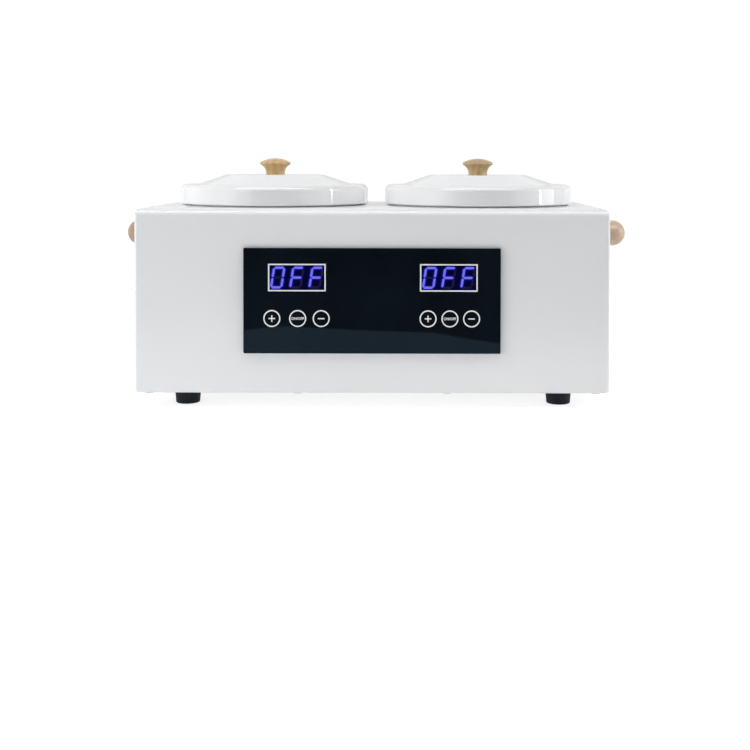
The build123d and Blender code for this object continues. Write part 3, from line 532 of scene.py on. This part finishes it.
def text_piece(name, words, width, height, x, z, mat):
    """Raised letters in Blender's built-in font, fitted to a width and a height, centred at (x, z) on the
    panel."""
    curve = bpy.data.curves.new(name, "FONT")
    curve.body = words
    curve.size = height * MM
    curve.offset = TEXT_BOLD * MM
    curve.extrude = PRINT_T / 2 * MM
    curve.resolution_u = 4
    holder = add_object(name + "_text", curve)
    bpy.context.view_layer.update()
    data = bpy.data.meshes.new_from_object(holder.evaluated_get(bpy.context.evaluated_depsgraph_get()))
    bpy.data.objects.remove(holder)
    xs = [v.co.x for v in data.vertices]
    ys = [v.co.y for v in data.vertices]
    data.transform(Matrix.Translation((-(min(xs) + max(xs)) / 2, -(min(ys) + max(ys)) / 2, 0)))
    stretch = (width * MM / (max(xs) - min(xs)), height * MM / (max(ys) - min(ys)), 1, 1)
    data.transform(Matrix.Diagonal(stretch))
    turn = PANEL_FACE.to_3x3().to_4x4()
    spot = Vector((x, PANEL_FRONT - PRINT_T / 2, z)) * MM
    data.transform(Matrix.Translation(spot) @ turn)
    data.materials.clear()
    data.materials.append(mat)
    piece = add_object(name, data)
    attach(piece, "housing")


def make_keys(side):
    """The rings and signs of the three touch keys under a display."""
    middle = centre_of(f"display_{side}")[0]
    z = centre_of(f"key_pads_{side}")[2]
    xs = [middle + step for step in KEY_STEPS[side]]
    plus_x, power_x, minus_x = xs
    rings = [(ring_points(x, z, RING_R), ring_points(x, z, RING_R - RING_LINE)) for x in xs]
    plates(f"key_rings_{side}", PRINT_WHITE, rings, PANEL_FACE)
    signs = [(cross_points(plus_x, z, SIGN_LEN, SIGN_LINE), None),
             (box_points(minus_x, z, SIGN_LEN, SIGN_LINE), None)]
    plates(f"key_signs_{side}", PRINT_WHITE, signs, PANEL_FACE)
    text_piece(f"key_on_off_{side}", "ON/OFF", TEXT_W, TEXT_H, power_x, z, PRINT_WHITE)


def make_screw_recess_shade():
    """Dark crosses on the heads of the screws that show from below and behind: painted shade where their
    cross recesses lie.
    """
    low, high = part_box("base_plate_screws")
    reach_x, reach_y = high[0] / MM - SCREW_HEAD_R, high[1] / MM - SCREW_HEAD_R
    crosses = [(cross_points(x, y, RECESS_LEN, RECESS_LINE), None)
               for x in (-reach_x, -reach_x / 3, reach_x / 3, reach_x) for y in (-reach_y, reach_y)]
    under = Matrix.Translation((0, 0, low[2] / MM)) @ UNDER_FACE
    plates("base_screw_recess_shade", RECESS_PAINTED_SHADE, crosses, under, depth=RECESS_T)
    low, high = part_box("inlet_screws")
    z = (low[2] + high[2]) / 2 / MM
    reach_x = high[0] / MM - NUT_R
    crosses = [(cross_points(x, z, RECESS_LEN, RECESS_LINE), None) for x in (-reach_x, reach_x)]
    rear = Matrix.Translation((0, high[1] / MM, 0)) @ REAR_FACE
    plates("inlet_screw_recess_shade", RECESS_PAINTED_SHADE, crosses, rear, depth=RECESS_T)


def make_rocker_marks():
    """I on the rocker's flat half and O on its leaning half."""
    x, _, z = centre_of("switch_rocker")
    middle = Matrix.Translation((x, ROCKER_RIDGE_Y, z)) @ REAR_FACE
    bar = [(box_points(-ROCKER_MARK_X, 0, ROCKER_BAR_W, ROCKER_BAR_H), None)]
    plates("rocker_mark_on", PRINT_WHITE, bar, middle, depth=ROCKER_MARK_T,
           body="switch_rocker")
    lean = middle @ Matrix.Rotation(-math.radians(ROCKER_LEAN_DEG), 4, "Y")
    ring = [(ring_points(ROCKER_MARK_X, 0, ROCKER_RING_R, ROCKER_RING_POINTS),
             ring_points(ROCKER_MARK_X, 0, ROCKER_RING_BORE, ROCKER_RING_POINTS))]
    plates("rocker_mark_off", PRINT_WHITE, ring, lean, depth=ROCKER_MARK_T,
           body="switch_rocker")


# Studio

def floor_material():
    """White, with the object's shadow. Light that the floor sends on is made by a shader of its own."""
    mat, tree, shader = new_material("floor_white")
    tree.nodes.remove(shader)
    output = tree.nodes["Material Output"]
    bounce = add_node(tree, "ShaderNodeBsdfDiffuse", Color=(0.9, 0.9, 0.91, 1))
    shadowed = add_node(tree, "ShaderNodeBsdfDiffuse", Color=(0.4, 0.4, 0.4, 1))
    glow = add_node(tree, "ShaderNodeEmission", Color=(1, 1, 1, 1))
    away = add_node(tree, "ShaderNodeVectorMath", operation="LENGTH")
    tree.links.new(object_coords(tree), away.inputs[0])
    level = spread(tree, away.outputs["Value"], GLOW_NEAR, GLOW_FAR, GLOW_START, GLOW_END)
    tree.links.new(level, glow.inputs["Strength"])
    seen = tree.nodes.new("ShaderNodeAddShader")
    tree.links.new(shadowed.outputs[0], seen.inputs[0])
    tree.links.new(glow.outputs[0], seen.inputs[1])
    lift = add_node(tree, "ShaderNodeEmission", Color=(1, 1, 1, 1), Strength=BOUNCE_GLOW)
    sent_on = tree.nodes.new("ShaderNodeAddShader")
    tree.links.new(bounce.outputs[0], sent_on.inputs[0])
    tree.links.new(lift.outputs[0], sent_on.inputs[1])
    pick_by_ray(tree, sent_on, seen, output)
    return mat


def make_floor():
    mesh = bmesh.new()
    bmesh.ops.create_grid(mesh, x_segments=8, y_segments=8, size=FLOOR_HALF)
    data = mesh_from(mesh, "floor")
    data.materials.append(floor_material())
    add_object("floor", data)


def pick_by_ray(tree, unseen, seen, output):
    """Join two shaders, the second for what is seen directly and the first for the rest."""
    pick = tree.nodes.new("ShaderNodeMixShader")
    tree.links.new(seen_directly(tree), pick.inputs["Fac"])
    tree.links.new(unseen.outputs[0], pick.inputs[1])
    tree.links.new(seen.outputs[0], pick.inputs[2])
    tree.links.new(pick.outputs[0], output.inputs["Surface"])


def seen_directly(tree):
    """1 for camera, glossy and transmission rays, 0 for the rest."""
    path = tree.nodes.new("ShaderNodeLightPath")
    total = path.outputs["Is Camera Ray"]
    for name in ("Is Glossy Ray", "Is Transmission Ray"):
        add = add_node(tree, "ShaderNodeMath", operation="MAXIMUM")
        tree.links.new(total, add.inputs[0])
        tree.links.new(path.outputs[name], add.inputs[1])
        total = add.outputs[0]
    return total


# The dark card's near edge, from left to right, in metres
CARD_EDGE = ((-2.5, -0.40), (-0.5, -0.40), (-0.136, -0.419), (-0.118, -0.437), (-0.100, -0.449),
             (-0.072, -0.440), (-0.049, -0.432), (-0.006, -0.419), (0.046, -0.409), (0.070, -0.378),
             (0.104, -0.342), (0.5, -0.30), (2.5, -0.30))


def make_dark_card():
    """A dark card on the floor in front of the object, which turns up at its far end. Only the object's
    reflections show it."""
    reach, rise = 3.0, 0.9
    mesh = bmesh.new()
    rows = []
    for x, edge in CARD_EDGE:
        rows.append([mesh.verts.new(place) for place in
                     ((x, edge, CARD_LIFT), (x, -reach, CARD_LIFT), (x, -reach, rise))])
    for (a, b, c), (d, e, f) in zip(rows, rows[1:]):
        mesh.faces.new((a, b, e, d))
        mesh.faces.new((b, c, f, e))
    data = mesh_from(mesh, "dark_card")
    mat, tree, shader = new_material("card_black")
    cloud = noise(tree, object_coords(tree), 6.0)
    stops = [(CLOUD_LOW, (0.002, 0.002, 0.003)), (CLOUD_HIGH, (0.01, 0.01, 0.012))]
    tree.links.new(ramp(tree, cloud, stops), shader.inputs["Base Color"])
    data.materials.append(mat)
    only_reflected(add_object("dark_card", data))


def only_reflected(card):
    """Make a card show in mirror-like reflections and nowhere else."""
    card.visible_camera = False
    card.visible_diffuse = False
    card.visible_shadow = False
    card.visible_transmission = False


def make_grey_card():
    """A pale grey wall far behind the object, seen only in its reflections."""
    away, half, rise = 2.0, 0.7, 0.8
    corners = ((-half, away, CARD_LIFT), (half, away, CARD_LIFT), (half, away, rise), (-half, away, rise))
    data = bpy.data.meshes.new("grey_card")
    data.from_pydata(corners, [], [(0, 1, 2, 3)])
    mat, tree, shader = new_material("card_grey")
    cloud = noise(tree, object_coords(tree), 1.5)
    stops = [(CLOUD_LOW, (0.66, 0.68, 0.69)), (CLOUD_HIGH, (0.74, 0.76, 0.77))]
    tree.links.new(ramp(tree, cloud, stops), shader.inputs["Emission Color"])
    shader.inputs["Emission Strength"].default_value = 1.0
    shader.inputs["Base Color"].default_value = (0, 0, 0, 1)
    data.materials.append(mat)
    only_reflected(add_object("grey_card", data))


def make_world():
    world = bpy.data.worlds.new("studio")
    bpy.context.scene.world = world
    world.use_nodes = True
    tree = world.node_tree
    tree.nodes.clear()
    output = tree.nodes.new("ShaderNodeOutputWorld")
    light = add_node(tree, "ShaderNodeBackground", Color=(0.97, 0.985, 1.0, 1), Strength=WORLD_LEVEL)
    white = add_node(tree, "ShaderNodeBackground", Color=(1, 1, 1, 1), Strength=1.0)
    pick_by_ray(tree, light, white, output)


# Name, place, aim and size in metres, watts, whether it lights surfaces, whether it shows in reflections
LAMPS = (
    ("overhead", (-0.1, 0.0, 1.5), (0, 0, 0.05), (1.8, 0.8), 1.6, True, True),
    ("left_window", (-1.5, -0.1, 0.45), (0, 0, 0.12), (2.4, 0.9), 2.7, True, True),
    ("left_front", (-0.95, -1.0, 0.35), (0, 0, 0.12), (0.9, 0.7), 1.9, True, True),
    ("left_side", (-1.25, -0.68, 0.35), (0, 0, 0.12), (0.5, 0.7), 2.05, True, False),
    ("right_window", (1.5, -0.04, 0.45), (0, 0, 0.12), (0.7, 0.9), 4.9, True, True),
    ("right_frame", (1.45, -0.31, 0.35), (-0.028, -0.05, 0.14), (0.022, 0.8), 3.0, False, True),
    ("upper_left", (-1.0, -0.3, 1.1), (0, 0, 0.12), (0.6, 0.6), 9.5, True, False),
    ("upper_right", (1.0, -0.3, 1.1), (0, 0, 0.12), (0.6, 0.6), 8.9, True, False),
    ("rear", (0.0, 1.3, 0.8), (0, 0, 0.1), (1.4, 0.8), 5.8, True, False),
    ("low_front", (-0.12, -0.16, 0.012), (-0.12, 0, 0.012), (0.6, 0.02), 0.018, True, False),
    ("bend_strip", (0, -0.75, 1.3), (0, -0.08, 0.13), (2.2, 0.5), 20.0, False, True),
)


def make_lights():
    for name, place, aim, size, watts, on_surfaces, in_reflections in LAMPS:
        data = bpy.data.lights.new(name, "AREA")
        data.shape = "RECTANGLE"
        data.size, data.size_y = size
        data.energy = watts
        lamp = add_object(name, data)
        lamp.location = place
        lamp.rotation_euler = (Vector(aim) - Vector(place)).to_track_quat("-Z", "Y").to_euler()
        lamp.visible_camera = False
        lamp.visible_diffuse = on_surfaces
        lamp.visible_glossy = in_reflections


def make_camera():
    data = bpy.data.cameras.new("camera")
    data.sensor_width = CAMERA_SENSOR
    data.lens = CAMERA_LENS
    data.shift_x, data.shift_y = CAMERA_SHIFT
    data.clip_start, data.clip_end = CAMERA_NEAR, CAMERA_FAR
    camera = add_object("camera", data)
    camera.location = CAMERA_PLACE
    camera.rotation_euler = (math.radians(90 - CAMERA_PITCH), math.radians(CAMERA_ROLL), 0)
    bpy.context.scene.camera = camera


dress_nodes()
for side in ("left", "right"):
    make_display(side)
    make_keys(side)
make_screw_recess_shade()
make_rocker_marks()
make_floor()
make_dark_card()
make_grey_card()
make_world()
make_lights()
make_camera()
bpy.context.scene.view_settings.view_transform = "Standard"
